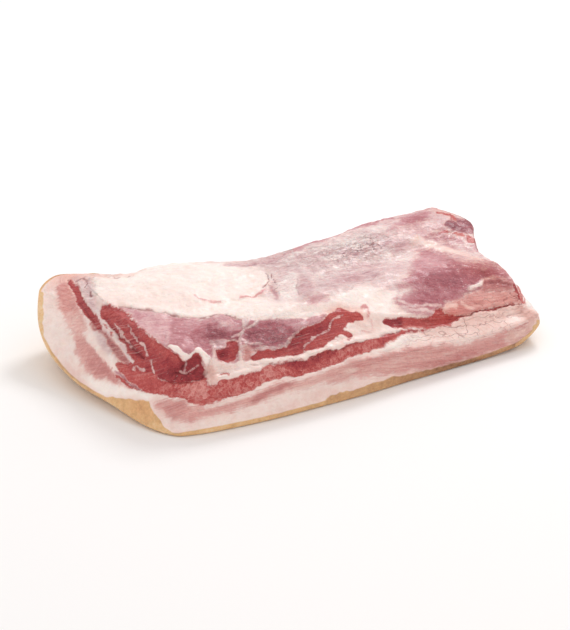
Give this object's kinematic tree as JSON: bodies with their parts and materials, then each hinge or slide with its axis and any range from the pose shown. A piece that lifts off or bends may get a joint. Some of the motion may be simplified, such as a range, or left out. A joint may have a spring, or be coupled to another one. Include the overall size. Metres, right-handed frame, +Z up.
{
  "type": "pork belly slab",
  "caption": "Slab of raw pork belly lying on its rind, with layered fat and lean at its stepped cut sides and one end curled up.",
  "frame": {"origin": "middle of the bounding box, on the surface that the slab lies on", "axes": "+X along the slab's length, from the curled end to the other; +Y across it, from the near cut side to the far one; +Z up, from the rind to the uneven top"},
  "size_m": [0.3532, 0.183, 0.0602],
  "materials": {
    "raw_pork": "moist raw meat: cream fat, pink and dark red lean, pale membrane and a golden rind"
  },
  "bodies": {
    "root": {"pork_belly_slab": "raw_pork"}
  },
  "joints": []
}
